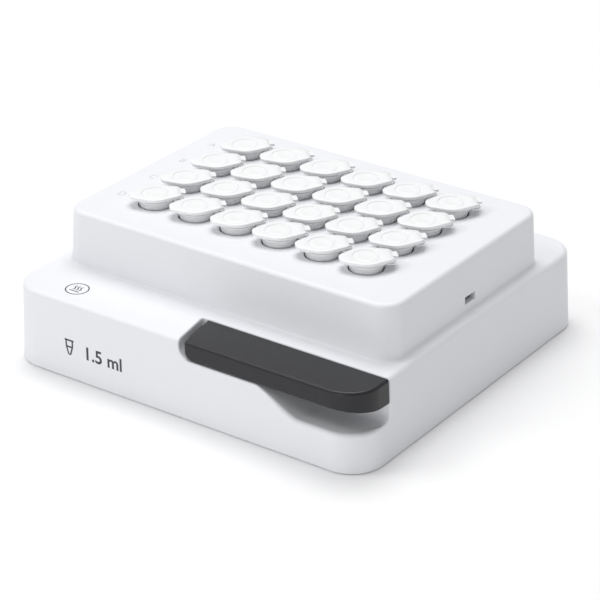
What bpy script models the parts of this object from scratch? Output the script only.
"""Heated tube block for an orbital microtube mixer: a two-tier white housing with 24 places for
1.5 ml microtubes and a lift-up lever that drives a keyhole lock slide. Every sub-part is one
named object at rest, in metres. +Z is up, the lever is at the front (-Y) right (+X), and the
origin is the middle of the footprint.
"""

import math

import bmesh
import bpy
from mathutils import Matrix, Vector

MM = 0.001

# Driving dimensions, in millimetres.
PITCH = 17.0  # between neighbouring tubes
COLUMNS = 6
ROWS = "ABCD"  # row A is at the back
GRID_Y = 1.9  # the tube grid and the upper tier sit this far behind the footprint's middle
GAP = 0.4  # between pieces that touch

BASE_HALF_X = 71.5  # lower tier, at the ground
BASE_HALF_Y = 68.4
BASE_HEIGHT = 28.6
BASE_CORNER = 12.0
BASE_DRAFT = 1.3  # how far the sides and the back lean in from the ground to the ledge
BASE_EDGE = 1.7
LEDGE_THICKNESS = 2.5
WALL = 2.5

TIER_HALF_X = 66.4  # upper tier, where it meets the ledge
TIER_HALF_Y = 46.5
TIER_TOP = 47.9
TIER_CORNER = 7.5
TIER_DRAFT = 0.9
TIER_EDGE = 1.3
COVER_PLATE = 2.5
COVER_HOLE_RADIUS = 5.9
WINDOW_HALF_WIDTH = 3.1
WINDOW_Z = (32.1, 34.5)

CAP_TOP = 52.0
CAP_THICKNESS = 1.2
CAP_RADIUS = 6.6
CAP_TAB_REACH = 8.5
CAP_TAB_HALF_WIDTH = 2.8
CAP_HINGE_REACH = 8.4
CAP_HINGE_HALF_WIDTH = 4.2
CAP_TURN = math.radians(45)  # the caps point diagonally, hinges to the back right
TUBE_LENGTH = 39.6
TUBE_NECK_RADIUS = 5.3

BLOCK_HALF_X = 54.0
BLOCK_HALF_Y = 37.0
BLOCK_Z = (8.5, 43.5)
BORE_RADIUS = 5.9
FRAME_OUTER = (60.4, 42.2)  # insulation frame, half sizes
FRAME_INNER = (54.4, 37.4)
FRAME_Z = (7.0, 44.9)
OPENING_HALF = (61.2, 42.8)  # hole in the ledge under the upper tier

LEVER_LEFT = 3.2  # the grip's left end, at its front face
LEVER_BACK = -52.0
LEVER_RIGHT = 70.2
LEVER_Z = (22.3, 28.6)
LEVER_EDGE = 0.9
PULL_Z = 20.2  # underside of the grip at the back of its free end, where it is thicker
PULL_X = (35.0, 41.0)  # where it starts to get thicker, and where it is at full depth
HINGE_TILT = math.radians(10.5)  # the hinge line runs parallel to the grip's slanted left end
HINGE_INSET = 3.2  # hinge line to the left end
HINGE_Z = 24.9
LEVER_END_ROUND = HINGE_Z - LEVER_Z[0]
LEVER_RANGE = math.radians(50)
POCKET_LEFT_GAP = 2.1
POCKET_FLOOR = LEVER_Z[0] - 0.5
LUG_ALONG = (6.0, 9.0)  # the lug that carries the hinge pin, measured inward from the front face
LUG_RADIUS = 2.1
RECESS_FLOOR = 14.0
RECESS_X = (31.0, 46.0)  # where the finger recess starts to drop, and where it is level
ARM_LENGTH = 9.5
ARM_ALONG = (9.4, 11.2)  # the steel arm and the fork, measured inward along the hinge line
FORK_ALONG = (13.1, 14.9)

PLATE_Z = (2.2, 4.2)  # chassis plate
PLATE_OPENING_HALF = (46.0, 29.5)  # the mixer's heated platform comes in here
SLIDE_Z = (4.6, 6.1)
RAIL_OFFSET = 47.5  # middle of each slide rail to the middle of the grid
RAIL_WIDTH = 11.0
STUD_X = 26.0  # mushroom studs of the mixer
STUD_HOLE_RADIUS = 4.5
KEYHOLE_NECK = 4.8
GUIDE_X = (-44.0, 46.0)
BASE_SCREWS = ((62.0, -59.0), (62.0, 60.0), (-62.0, 60.0), (-62.0, -59.0))
BLOCK_SCREW_OFFSET = (50.5, 33.5)
SPRING_Y = 58.6
SPRING_POSTS_X = (-20.0, 10.0)
SPRING_WIRE_RADIUS = 0.35
SPRING_COIL_RADIUS = 1.7
SPRING_LOOP_RADIUS = 1.95

ROUND_STEPS = 10
CORNER_STEPS = 6

# Directions worked out from the hinge line: along it towards the front, and across it.
HINGE_AXIS = Vector((math.sin(HINGE_TILT), -math.cos(HINGE_TILT), 0.0))
HINGE_ACROSS = Vector((math.cos(HINGE_TILT), math.sin(HINGE_TILT), 0.0))
HINGE_FRONT = (
    Vector((LEVER_LEFT, -BASE_HALF_Y, HINGE_Z)) + HINGE_ACROSS * HINGE_INSET
)  # where the hinge line passes the grip's front face
SLIDE_TRAVEL = 2 * ARM_LENGTH * math.sin(LEVER_RANGE / 2) / math.cos(HINGE_TILT)


def clear_scene():
    for obj in list(bpy.data.objects):
        bpy.data.objects.remove(obj, do_unlink=True)


def make_material(name, colour, roughness, metallic=0.0):
    made = bpy.data.materials.new(name)
    made.use_nodes = True
    shader = made.node_tree.nodes["Principled BSDF"]
    shader.inputs["Base Color"].default_value = (*colour, 1.0)
    shader.inputs["Roughness"].default_value = roughness
    shader.inputs["Metallic"].default_value = metallic
    return made


def add_object(name, mesh, material):
    """Links a mesh as an object, shaded smooth with its corners kept sharp."""
    mesh.shade_smooth()
    mesh.set_sharp_from_angle(angle=math.radians(35))
    mesh.materials.append(material)
    obj = bpy.data.objects.new(name, mesh)
    bpy.context.scene.collection.objects.link(obj)
    return obj


def solid(name, bm, material, matrix=None):
    """Turns a bmesh drawn in millimetres into an object in metres."""
    if matrix is not None:
        bmesh.ops.transform(bm, matrix=matrix, verts=bm.verts)
    bmesh.ops.scale(bm, vec=(MM, MM, MM), verts=bm.verts)
    mesh = bpy.data.meshes.new(name)
    bm.to_mesh(mesh)
    bm.free()
    return add_object(name, mesh, material)


def loft(bm, rings):
    """Skins a list of rings, from the lowest up and each anticlockwise, with a face at both ends."""
    loops = [[bm.verts.new(point) for point in ring] for ring in rings]
    count = len(loops[0])
    for low, high in zip(loops, loops[1:]):
        for i in range(count):
            j = (i + 1) % count
            bm.faces.new((low[i], low[j], high[j], high[i]))
    bm.faces.new(reversed(loops[0]))
    bm.faces.new(loops[-1])
    return bm


def prism(outline, low, high, bm=None):
    """An outline in X and Y raised from low to high."""
    rings = [[(x, y, z) for x, y in outline] for z in (low, high)]
    return loft(bm or bmesh.new(), rings)


def box(x0, x1, y0, y1, z0, z1, bm=None):
    return prism(((x0, y0), (x1, y0), (x1, y1), (x0, y1)), z0, z1, bm)


def turned(profile, centre=(0, 0), steps=ROUND_STEPS, bm=None):
    """A round solid on a vertical axis: profile holds (radius, height), ending flat at both ends."""
    turns = [math.tau * (i + 0.5) / steps for i in range(steps)]
    rings = [
        [(centre[0] + r * math.cos(a), centre[1] + r * math.sin(a), z) for a in turns]
        for r, z in profile
    ]
    return loft(bm or bmesh.new(), rings)


def rounded(x0, x1, y0, y1, radius, steps=CORNER_STEPS):
    """Anticlockwise outline of a rectangle with round corners, from the front right corner on."""
    corners = (
        (x1 - radius, y0 + radius, -90),
        (x1 - radius, y1 - radius, 0),
        (x0 + radius, y1 - radius, 90),
        (x0 + radius, y0 + radius, 180),
    )
    points = []
    for cx, cy, start in corners:
        for i in range(steps + 1):
            turn = math.radians(start + 90 * i / steps)
            points.append((cx + radius * math.cos(turn), cy + radius * math.sin(turn)))
    return points


def across_hinge(along, across, z):
    """A point measured from the hinge line's front end: inward along it, across it, and its height."""
    point = HINGE_FRONT - HINGE_AXIS * along + HINGE_ACROSS * across
    return Vector((point.x, point.y, z))


def hinge_box(along, across, heights, bm=None):
    """A box whose sides run along and across the hinge line."""
    corners = (
        (along[0], across[0]),
        (along[0], across[1]),
        (along[1], across[1]),
        (along[1], across[0]),
    )
    outline = [across_hinge(a, c, 0)[:2] for a, c in corners]
    return prism(outline, heights[0], heights[1], bm)


def hinge_matrix(across=0.0, z=HINGE_Z, along=0.0):
    """Lays a vertical turned solid along the hinge line, so that its height runs inward."""
    inward = -HINGE_AXIS
    side = HINGE_ACROSS
    turn = Matrix((side, inward.cross(side), inward)).transposed().to_4x4()
    return Matrix.Translation(across_hinge(along, across, z)) @ turn


def cutter(name, bm, matrix=None):
    made = solid(name, bm, MATERIALS["guide"], matrix)
    made.hide_render = True
    made.display_type = "WIRE"
    return made


def change(target, tool, operation="DIFFERENCE"):
    modifier = target.modifiers.new(tool.name, "BOOLEAN")
    modifier.operation = operation
    modifier.solver = "EXACT"
    modifier.object = tool


def grid_points():
    """Every tube place with its name: rows from the back, columns from the left."""
    for row, letter in enumerate(ROWS):
        for column in range(COLUMNS):
            x = (column - (COLUMNS - 1) / 2) * PITCH
            y = GRID_Y + ((len(ROWS) - 1) / 2 - row) * PITCH
            yield f"{letter}{column + 1}", x, y


def base_outline(z, inset=0.0):
    lean = BASE_DRAFT * z / BASE_HEIGHT
    half_x = BASE_HALF_X - lean - inset
    front = -BASE_HALF_Y + inset
    back = BASE_HALF_Y - lean - inset
    ring = rounded(-half_x, half_x, front, back, BASE_CORNER - inset)
    return [(x, y, z) for x, y in ring]


def tier_outline(z, inset=0.0):
    lean = TIER_DRAFT * (z - BASE_HEIGHT) / (TIER_TOP - BASE_HEIGHT)
    half_x = TIER_HALF_X - lean - inset
    half_y = TIER_HALF_Y - lean - inset
    ring = rounded(-half_x, half_x, GRID_Y - half_y, GRID_Y + half_y, TIER_CORNER - inset)
    return [(x, y, z) for x, y in ring]


def pocket_cutter():
    """Room for the grip, open at the top, front and right, less the lug that holds its pin."""
    left_front = HINGE_FRONT - HINGE_ACROSS * (HINGE_INSET + POCKET_LEFT_GAP)
    slope = math.tan(HINGE_TILT)
    outer = -BASE_HALF_Y - 2
    back = LEVER_BACK + GAP
    outline = (
        (left_front.x + slope * (-BASE_HALF_Y - outer), outer),
        (BASE_HALF_X + 2, outer),
        (BASE_HALF_X + 2, back),
        (left_front.x + slope * (-BASE_HALF_Y - back), back),
    )
    pocket = cutter("pocket_cut", prism(outline, POCKET_FLOOR, BASE_HEIGHT + 2))
    near, far = LUG_ALONG
    stem = hinge_box(LUG_ALONG, (-LUG_RADIUS, LUG_RADIUS), (POCKET_FLOOR - 2, HINGE_Z))
    change(pocket, cutter("lug_stem_keep", stem))
    eye = turned(((LUG_RADIUS, near), (LUG_RADIUS, far)), steps=12)
    change(pocket, cutter("lug_eye_keep", eye, hinge_matrix()))
    return pocket


def recess_cutter():
    """The finger recess under the grip: it drops towards the right and runs out through the corner."""
    start, level = RECESS_X
    right = BASE_HALF_X + 2
    top = POCKET_FLOOR + 0.6
    profile = ((start, top), (level, RECESS_FLOOR), (right, RECESS_FLOOR), (right, top))
    rings = [[(x, y, z) for x, z in profile] for y in (LEVER_BACK + GAP, -BASE_HALF_Y - 2)]
    return cutter("recess_cut", loft(bmesh.new(), rings))


def cavity_cutter():
    """The inside of the lower tier, kept clear of the pocket, the recess and the screw bosses."""
    top = BASE_HEIGHT - LEDGE_THICKNESS
    rings = [base_outline(z, WALL) for z in (-1.0, top)]
    cavity = cutter("cavity_cut", loft(bmesh.new(), rings))
    pocket_room = box(-4.5, 75, -75, LEVER_BACK + GAP + 1.8, POCKET_FLOOR - 2.0, 40)
    change(cavity, cutter("pocket_keep", pocket_room))
    recess_room = box(27.0, 75, -75, LEVER_BACK + 1.7, RECESS_FLOOR - 2.2, 30)
    change(cavity, cutter("recess_keep", recess_room))
    for number, (x, y) in enumerate(BASE_SCREWS, 1):
        boss = turned(((3.6, PLATE_Z[1] + GAP), (3.6, 40)), (x, y))
        change(cavity, cutter(f"boss_keep_{number}", boss))
    return cavity


def make_base_housing():
    heights = ((0.0, BASE_EDGE), (BASE_EDGE, 0.0), (BASE_HEIGHT - BASE_EDGE, 0.0))
    rings = [base_outline(z, inset) for z, inset in heights]
    middle = BASE_EDGE * (1 - math.sqrt(0.5))
    rings.append(base_outline(BASE_HEIGHT - middle, middle))
    rings.append(base_outline(BASE_HEIGHT, BASE_EDGE))
    base = solid("base_housing", loft(bmesh.new(), rings), MATERIALS["housing"])
    change(base, cavity_cutter())
    change(base, pocket_cutter())
    change(base, recess_cutter())
    half_x, half_y = OPENING_HALF
    opening = rounded(-half_x, half_x, GRID_Y - half_y, GRID_Y + half_y, 3.0, 3)
    change(base, cutter("ledge_opening_cut", prism(opening, 20, 40)))
    pin_hole = turned(((1.4, 5.0), (1.4, 10.0)))
    change(base, cutter("pin_hole_cut", pin_hole, hinge_matrix()))
    arm_room = (ARM_ALONG[0] - 0.35, ARM_ALONG[1] + 0.35)
    arm_slot = hinge_box(arm_room, (-5.4, 5.4), (POCKET_FLOOR - 4, POCKET_FLOOR + 1))
    change(base, cutter("arm_slot_cut", arm_slot))
    for number, (x, y) in enumerate(BASE_SCREWS, 1):
        hole = turned(((1.6, 2.0), (1.6, 10.5)), (x, y))
        change(base, cutter(f"boss_hole_cut_{number}", hole))
    for side in (-1, 1):
        change(base, snap_tongue(side), "UNION")
    return base


def snap_tongue(side):
    """A tongue on the ledge whose hook catches in the window of the upper tier."""
    y0, y1 = GRID_Y - 4.0, GRID_Y + 4.0
    root, face = OPENING_HALF[0] - 0.3, OPENING_HALF[0] + 1.5
    hook = face + 1.6
    profile = (
        (root, BASE_HEIGHT - 2.0),
        (face, BASE_HEIGHT - 2.0),
        (face, WINDOW_Z[0] + 0.5),
        (hook, WINDOW_Z[0] + 0.5),
        (face, WINDOW_Z[1] + 0.2),
        (root, WINDOW_Z[1] + 0.8),
    )
    tongue_profile = [(x * side, z) for x, z in profile]
    ends = (y1, y0) if side > 0 else (y0, y1)
    rings = [[(x, y, z) for x, z in tongue_profile] for y in ends]
    name = "right" if side > 0 else "left"
    tongue = cutter(f"snap_tongue_{name}", loft(bmesh.new(), rings))
    hook_width = WINDOW_HALF_WIDTH - 0.4
    trims = ((y0 - 1, GRID_Y - hook_width), (GRID_Y + hook_width, y1 + 1))
    for number, (low, high) in enumerate(trims, 1):
        outer = sorted((side * (face + 0.01), side * (hook + 1)))
        trim = box(outer[0], outer[1], low, high, WINDOW_Z[0], WINDOW_Z[1] + 1)
        change(tongue, cutter(f"hook_trim_{name}_{number}", trim))
    return tongue


def make_upper_cover():
    foot = BASE_HEIGHT + 0.3
    rings = [tier_outline(foot), tier_outline(TIER_TOP - TIER_EDGE)]
    middle = TIER_EDGE * (1 - math.sqrt(0.5))
    rings.append(tier_outline(TIER_TOP - middle, middle))
    rings.append(tier_outline(TIER_TOP, TIER_EDGE))
    cover = solid("upper_cover", loft(bmesh.new(), rings), MATERIALS["housing"])
    inside = [tier_outline(z, WALL) for z in (foot - 2, TIER_TOP - COVER_PLATE)]
    change(cover, cutter("cover_inside_cut", loft(bmesh.new(), inside)))
    holes = bmesh.new()
    for _, x, y in grid_points():
        radius = COVER_HOLE_RADIUS
        turned(((radius, TIER_TOP - 5), (radius, TIER_TOP + 2)), (x, y), bm=holes)
    change(cover, cutter("tube_holes_cut", holes))
    half = WINDOW_HALF_WIDTH
    windows = box(-90, 90, GRID_Y - half, GRID_Y + half, WINDOW_Z[0], WINDOW_Z[1])
    change(cover, cutter("windows_cut", windows))
    return cover


def make_tube_block():
    half_x, half_y = BLOCK_HALF_X, BLOCK_HALF_Y
    outline = rounded(-half_x, half_x, GRID_Y - half_y, GRID_Y + half_y, 3.0, 3)
    block = solid("tube_block", prism(outline, *BLOCK_Z), MATERIALS["aluminium"])
    bores = bmesh.new()
    bottom = CAP_TOP - TUBE_LENGTH - 0.5
    for _, x, y in grid_points():
        profile = (
            (2.7, bottom),
            (BORE_RADIUS, CAP_TOP - 22.3),
            (BORE_RADIUS, BLOCK_Z[1] + 2),
        )
        turned(profile, (x, y), bm=bores)
    change(block, cutter("bores_cut", bores))
    for number, (x, y) in enumerate(block_screw_places(), 1):
        hole = turned(((1.9, BLOCK_Z[0] - 2), (1.9, BLOCK_Z[0] + 9)), (x, y))
        change(block, cutter(f"block_thread_cut_{number}", hole))
    return block


def block_screw_places():
    dx, dy = BLOCK_SCREW_OFFSET
    return [(sx * dx, GRID_Y + sy * dy) for sx, sy in ((1, -1), (1, 1), (-1, 1), (-1, -1))]


def make_insulation_frame():
    frame = prism(
        rounded(-FRAME_OUTER[0], FRAME_OUTER[0], GRID_Y - FRAME_OUTER[1], GRID_Y + FRAME_OUTER[1], 3.0, 3),
        *FRAME_Z,
    )
    made = solid("insulation_frame", frame, MATERIALS["foam"])
    half_x, half_y = FRAME_INNER
    inside = rounded(-half_x, half_x, GRID_Y - half_y, GRID_Y + half_y, 3.2, 3)
    change(made, cutter("insulation_inside_cut", prism(inside, 0, 60)))
    return made


def make_chassis_plate():
    inset = WALL + GAP
    outline = [(x, y) for x, y, _ in base_outline(PLATE_Z[1], inset)]
    plate = solid("chassis_plate", prism(outline, *PLATE_Z), MATERIALS["plate"])
    half_x, half_y = PLATE_OPENING_HALF
    holes = prism(rounded(-half_x, half_x, GRID_Y - half_y, GRID_Y + half_y, 4.0, 3), 0, 8)
    for side in (-1, 1):
        y = GRID_Y + side * RAIL_OFFSET
        for x in (-STUD_X, STUD_X):
            turned(((STUD_HOLE_RADIUS, 0), (STUD_HOLE_RADIUS, 8)), (x, y), bm=holes)
        for x in GUIDE_X:
            turned(((1.9, 0), (1.9, 8)), (x, y), bm=holes)
    for x, y in (*BASE_SCREWS, *block_screw_places()):
        turned(((1.9, 0), (1.9, 8)), (x, y), bm=holes)
    turned(((1.6, 0), (1.6, 8)), (SPRING_POSTS_X[0], SPRING_Y), bm=holes)
    change(plate, cutter("chassis_holes_cut", holes))
    return plate


def slot_outline(x0, x1, y, radius, steps=5):
    """A slot with round ends that runs along X between two centres."""
    points = []
    for centre, start in ((x1, -90), (x0, 90)):
        for i in range(steps + 1):
            turn = math.radians(start + 180 * i / steps)
            points.append((centre + radius * math.cos(turn), y + radius * math.sin(turn)))
    return points


def make_lock_slide():
    """A C-shaped plate with keyholes, guide slots, a spring tab and a fork for the lever's drive pin."""
    half_rail = RAIL_WIDTH / 2
    front = GRID_Y - RAIL_OFFSET
    back = GRID_Y + RAIL_OFFSET
    left, inner, right = -57.0, 54.9, 58.9
    tab_front, tab_back = front - half_rail - 11.0, back + half_rail + 7.0
    outline = (
        (left, front - half_rail),
        (-12.0, front - half_rail),
        (-12.0, tab_front),
        (8.0, tab_front),
        (8.0, front - half_rail),
        (right, front - half_rail),
        (right, back + half_rail),
        (SPRING_POSTS_X[1] + 5, back + half_rail),
        (SPRING_POSTS_X[1] + 5, tab_back),
        (SPRING_POSTS_X[1] - 5, tab_back),
        (SPRING_POSTS_X[1] - 5, back + half_rail),
        (left, back + half_rail),
        (left, back - half_rail),
        (inner, back - half_rail),
        (inner, front + half_rail),
        (left, front + half_rail),
    )
    slide = solid("lock_slide", prism(outline, *SLIDE_Z), MATERIALS["steel"])
    change(slide, fork(), "UNION")
    slots = bmesh.new()
    for y in (front, back):
        for x in GUIDE_X:
            prism(slot_outline(x - SLIDE_TRAVEL, x, y, 1.9), 3, 8, slots)
    change(slide, cutter("guide_slots_cut", slots))
    necks = bmesh.new()
    for y in (front, back):
        for x in (-STUD_X, STUD_X):
            prism(slot_outline(x - SLIDE_TRAVEL, x, y, KEYHOLE_NECK / 2), 3, 8, necks)
    change(slide, cutter("keyhole_necks_cut", necks))
    heads = bmesh.new()
    for y in (front, back):
        for x in (-STUD_X, STUD_X):
            turned(((4.2, 2.5), (4.2, 8.5)), (x - SLIDE_TRAVEL, y), bm=heads)
    turned(((1.6, 2.5), (1.6, 8.5)), (SPRING_POSTS_X[1], SPRING_Y), bm=heads)
    change(slide, cutter("keyhole_heads_cut", heads))
    return slide


def fork():
    """The upright tab of the slide, with an open slot that the drive pin moves up and down in."""
    rest = -ARM_LENGTH * math.sin(LEVER_RANGE / 2)
    upright = hinge_box(FORK_ALONG, (rest - 4.6, rest + 4.6), (SLIDE_Z[0] + 0.3, 19.2))
    made = cutter("fork_join", upright)
    slot = hinge_box((12, 16), (rest - 1.7, rest + 1.7), (13.4, 22))
    change(made, cutter("fork_slot_cut", slot))
    return made


def grip_ring(z):
    """The grip's outline at a height, with its lower left end rounded about the hinge line."""
    drop = max(0.0, HINGE_Z - z) / LEVER_END_ROUND
    shift = HINGE_INSET * (1 - math.sqrt(max(0.0, 1 - drop * drop)))
    inset = LEVER_EDGE if z == LEVER_Z[1] else 0.0
    slope = math.tan(HINGE_TILT)
    front = -BASE_HALF_Y + inset
    back = LEVER_BACK
    left_front = LEVER_LEFT + shift + inset
    right = LEVER_RIGHT + BASE_DRAFT * (BASE_HEIGHT - z) / BASE_HEIGHT - inset
    radius = BASE_CORNER - inset
    points = [(left_front, front, z)]
    for i in range(CORNER_STEPS + 3):
        turn = math.radians(-90 + 90 * i / (CORNER_STEPS + 2))
        x = right - radius + radius * math.cos(turn)
        points.append((x, front + radius + radius * math.sin(turn), z))
    points.append((right, back, z))
    points.append((left_front - slope * (back - front), back, z))
    return points


def finger_pull():
    """The thicker free end of the grip: its underside drops towards the back and the right."""
    top = LEVER_Z[0] + 1.0
    made = cutter("pull_join", loft(bmesh.new(), [grip_ring(PULL_Z - 1.0), grip_ring(top)]))
    drop = LEVER_Z[0] - PULL_Z
    depth = LEVER_BACK + BASE_HALF_Y
    front, back = -BASE_HALF_Y - 2, LEVER_BACK + 2
    bottom = PULL_Z - 3.0
    under = (
        (front, bottom),
        (back, bottom),
        (back, PULL_Z - drop * 2 / depth),
        (front, LEVER_Z[0] + drop * 2 / depth),
    )
    rings = [[(x, y, z) for y, z in under] for x in (-20.0, 90.0)]
    change(made, cutter("pull_under_cut", loft(bmesh.new(), rings)))
    start, full = PULL_X
    fall = drop / (full - start)
    before = (
        (start - 60.0, bottom),
        (start + (LEVER_Z[0] - bottom) / fall, bottom),
        (start - 2.0 / fall, LEVER_Z[0] + 2.0),
        (start - 60.0, LEVER_Z[0] + 2.0),
    )
    rings = [[(x, y, z) for x, z in before] for y in (back, front)]
    change(made, cutter("pull_start_cut", loft(bmesh.new(), rings)))
    return made


def make_lever_grip():
    low, high = LEVER_Z
    heights = [low + LEVER_END_ROUND * share for share in (0, 0.1, 0.3, 0.6, 1)]
    rings = [grip_ring(z) for z in (*heights, high - LEVER_EDGE, high)]
    grip = solid("lever_grip", loft(bmesh.new(), rings), MATERIALS["grip"])
    change(grip, finger_pull(), "UNION")
    room = hinge_box((5.6, 12.2), (-6.0, 7.4), (20.0, HINGE_Z + 2.4))
    change(grip, cutter("grip_slot_cut", room))
    pin_hole = turned(((1.4, 1.6), (1.4, 25.0)))
    change(grip, cutter("grip_pin_cut", pin_hole, hinge_matrix()))
    dowel_hole = turned(((1.2, 3.0), (1.2, 14.2)))
    change(grip, cutter("grip_dowel_cut", dowel_hole, hinge_matrix(5.0, 25.1)))
    return grip


def make_lever_arm():
    """The steel arm fixed under the grip: it reaches down through the pocket's floor to the fork."""
    swing = LEVER_RANGE / 2
    down = (-math.sin(swing), -math.cos(swing))
    side = (math.cos(swing), -math.sin(swing))
    tip = ARM_LENGTH + 2.1
    profile = (
        (-1.9 * side[0], -1.9 * side[1]),
        (tip * down[0] - 1.9 * side[0], tip * down[1] - 1.9 * side[1]),
        (tip * down[0] + 1.9 * side[0], tip * down[1] + 1.9 * side[1]),
        (2.6 * down[0] + 1.9 * side[0], 2.6 * down[1] + 1.9 * side[1]),
        (6.9, -1.9),
        (6.9, 1.9),
        (-1.9, 1.9),
    )
    rings = [
        [across_hinge(along, c, HINGE_Z + z) for c, z in profile] for along in reversed(ARM_ALONG)
    ]
    arm = solid("lever_arm", loft(bmesh.new(), rings), MATERIALS["steel"])
    holes = (("arm_pin_cut", 0.0, HINGE_Z, 1.35), ("arm_dowel_cut", 5.0, 25.1, 1.2))
    for name, across, z, radius in holes:
        hole = turned(((radius, 8.0), (radius, 13.0)))
        change(arm, cutter(name, hole, hinge_matrix(across, z)))
    pin_across = ARM_LENGTH * down[0]
    pin_z = HINGE_Z + ARM_LENGTH * down[1]
    hole = turned(((1.1, 8.0), (1.1, 13.0)))
    change(arm, cutter("arm_drive_cut", hole, hinge_matrix(pin_across, pin_z)))
    return arm


def make_lever_pins():
    steel = MATERIALS["steel"]
    pin = turned(((1.0, 2.0), (1.0, 15.4)))
    solid("pivot_pin", pin, steel, hinge_matrix())
    dowel = turned(((0.85, 3.4), (0.85, 13.8)))
    solid("arm_dowel", dowel, steel, hinge_matrix(5.0, 25.1))
    swing = LEVER_RANGE / 2
    place = hinge_matrix(-ARM_LENGTH * math.sin(swing), HINGE_Z - ARM_LENGTH * math.cos(swing))
    drive = turned(((0.8, 9.2), (0.8, 11.5), (1.4, 11.5), (1.4, 15.4)))
    solid("drive_pin", drive, steel, place)


def make_fasteners():
    steel = MATERIALS["steel"]
    low = PLATE_Z[0]
    for number, (x, y) in enumerate(BASE_SCREWS, 1):
        profile = ((3.0, low - 1.9), (3.0, low - GAP), (1.25, low - GAP), (1.25, 10.0))
        solid(f"base_screw_{number}", turned(profile, (x, y)), steel)
    for number, (x, y) in enumerate(block_screw_places(), 1):
        profile = ((3.0, low - 1.9), (3.0, low - GAP), (1.5, low - GAP), (1.5, 16.0))
        solid(f"block_screw_{number}", turned(profile, (x, y)), steel)
    rails = [(x, GRID_Y + side * RAIL_OFFSET) for side in (-1, 1) for x in GUIDE_X]
    for number, (x, y) in enumerate(rails, 1):
        top = SLIDE_Z[1] + GAP
        profile = ((1.5, low + 0.2), (1.5, top), (3.2, top), (3.2, top + 1.4))
        solid(f"guide_screw_{number}", turned(profile, (x, y)), steel)
    for name, x, bottom in (
        ("spring_post_fixed", SPRING_POSTS_X[0], low + 0.2),
        ("spring_post_moving", SPRING_POSTS_X[1], SLIDE_Z[0] + 0.1),
    ):
        profile = ((1.2, bottom), (1.2, 10.4), (2.1, 10.4), (2.1, 11.2))
        solid(name, turned(profile, (x, SPRING_Y)), steel)


def make_block_spacers():
    for number, (x, y) in enumerate(block_screw_places(), 1):
        ring = turned(((3.1, PLATE_Z[1] + 0.3), (3.1, BLOCK_Z[0] - 0.3)), (x, y))
        spacer = solid(f"block_spacer_{number}", ring, MATERIALS["spacer"])
        hole = turned(((1.9, 0), (1.9, 12)), (x, y))
        change(spacer, cutter(f"block_spacer_cut_{number}", hole))


def spring_loop(post_x, start, sweep, height, steps=8):
    """The end loop of the spring, a turn of wire round a post."""
    points = []
    for i in range(steps):
        turn = math.radians(start + sweep * i / (steps - 1))
        x = post_x + SPRING_LOOP_RADIUS * math.cos(turn)
        points.append((x, SPRING_Y + SPRING_LOOP_RADIUS * math.sin(turn), height))
    return points


def make_slide_spring():
    """A tension spring along X: a loop round each post and the turns between them."""
    first, last = SPRING_POSTS_X
    height = 8.8
    points = spring_loop(first, 200, -230, height)
    turns, steps, lead = 6, 9, 5.0
    length = last - first - 2 * lead
    for i in range(turns * steps + 1):
        turn = math.tau * i / steps
        x = first + lead + length * i / (turns * steps)
        y = SPRING_Y - SPRING_COIL_RADIUS * math.cos(turn)
        points.append((x, y, height + SPRING_COIL_RADIUS * math.sin(turn)))
    points += spring_loop(last, -150, 230, height)
    curve = bpy.data.curves.new("slide_spring", "CURVE")
    curve.dimensions = "3D"
    curve.bevel_depth = SPRING_WIRE_RADIUS * MM
    curve.bevel_resolution = 0
    curve.use_fill_caps = True
    spline = curve.splines.new("POLY")
    spline.points.add(len(points) - 1)
    for target, point in zip(spline.points, points):
        target.co = (*(Vector(point) * MM), 1.0)
    curve.materials.append(MATERIALS["steel"])
    spring = bpy.data.objects.new("slide_spring", curve)
    bpy.context.scene.collection.objects.link(spring)


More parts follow.
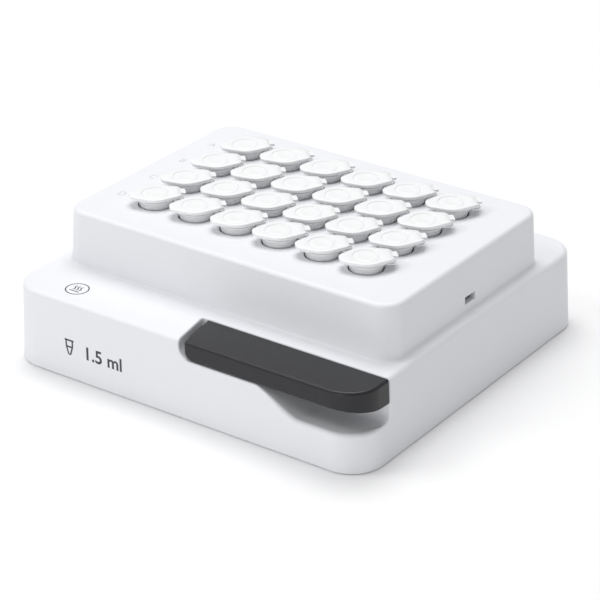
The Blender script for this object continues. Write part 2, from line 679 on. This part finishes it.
def tube_mesh():
    """One moulding, drawn from its cap top down: the cap stands open by a hair over the rim."""
    end = -TUBE_LENGTH
    profile = (
        (1.9, end),
        (5.0, -22.0),
        (TUBE_NECK_RADIUS, -3.2),
        (6.2, -2.8),
        (6.2, -1.5),
        (4.6, -1.5),
        (4.2, -21.4),
        (1.1, end + 1.2),
    )
    body = solid("tube_form", turned(profile), MATERIALS["tube"])
    arc = [math.radians(a) for a in (65, 90, 115)]
    upper = [(CAP_RADIUS * math.cos(a), CAP_RADIUS * math.sin(a)) for a in arc]
    lower = [(x, -y) for x, y in reversed(upper)]
    outline = (
        (CAP_HINGE_REACH, -CAP_HINGE_HALF_WIDTH),
        (CAP_HINGE_REACH, CAP_HINGE_HALF_WIDTH),
        *upper,
        (-CAP_TAB_REACH, CAP_TAB_HALF_WIDTH),
        (-CAP_TAB_REACH, -CAP_TAB_HALF_WIDTH),
        *lower,
    )
    change(body, cutter("cap_join", prism(outline, -CAP_THICKNESS, 0)), "UNION")
    strap = box(5.3, CAP_HINGE_REACH - 0.3, -1.6, 1.6, -2.4, -0.6)
    change(body, cutter("strap_join", strap), "UNION")
    graph = bpy.context.evaluated_depsgraph_get()
    mesh = bpy.data.meshes.new_from_object(body.evaluated_get(graph))
    bpy.data.objects.remove(body)
    mesh.name = "microtube"
    return mesh


def make_tubes():
    mesh = tube_mesh()
    for label, x, y in grid_points():
        tube = bpy.data.objects.new(f"tube_{label}", mesh)
        tube.location = Vector((x, y, CAP_TOP)) * MM
        tube.rotation_euler = (0, 0, CAP_TURN)
        bpy.context.scene.collection.objects.link(tube)


clear_scene()
MATERIALS = {
    "guide": make_material("guide", (0.5, 0.5, 0.5), 0.5),
    "housing": make_material("white_plastic", (0.88, 0.89, 0.91), 0.42),
    "grip": make_material("charcoal_plastic", (0.055, 0.055, 0.06), 0.5),
    "tube": make_material("clear_polypropylene", (0.85, 0.87, 0.88), 0.3),
    "aluminium": make_material("anodised_aluminium", (0.62, 0.63, 0.65), 0.4, 1.0),
    "foam": make_material("insulation_foam", (0.12, 0.12, 0.13), 0.9),
    "plate": make_material("black_chassis_plastic", (0.07, 0.07, 0.075), 0.55),
    "spacer": make_material("peek_spacer", (0.62, 0.5, 0.36), 0.5),
    "steel": make_material("stainless_steel", (0.6, 0.6, 0.61), 0.3, 1.0),
}
make_base_housing()
make_upper_cover()
make_tube_block()
make_insulation_frame()
make_chassis_plate()
make_block_spacers()
make_lock_slide()
make_lever_grip()
make_lever_arm()
make_lever_pins()
make_fasteners()
make_slide_spring()
make_tubes()
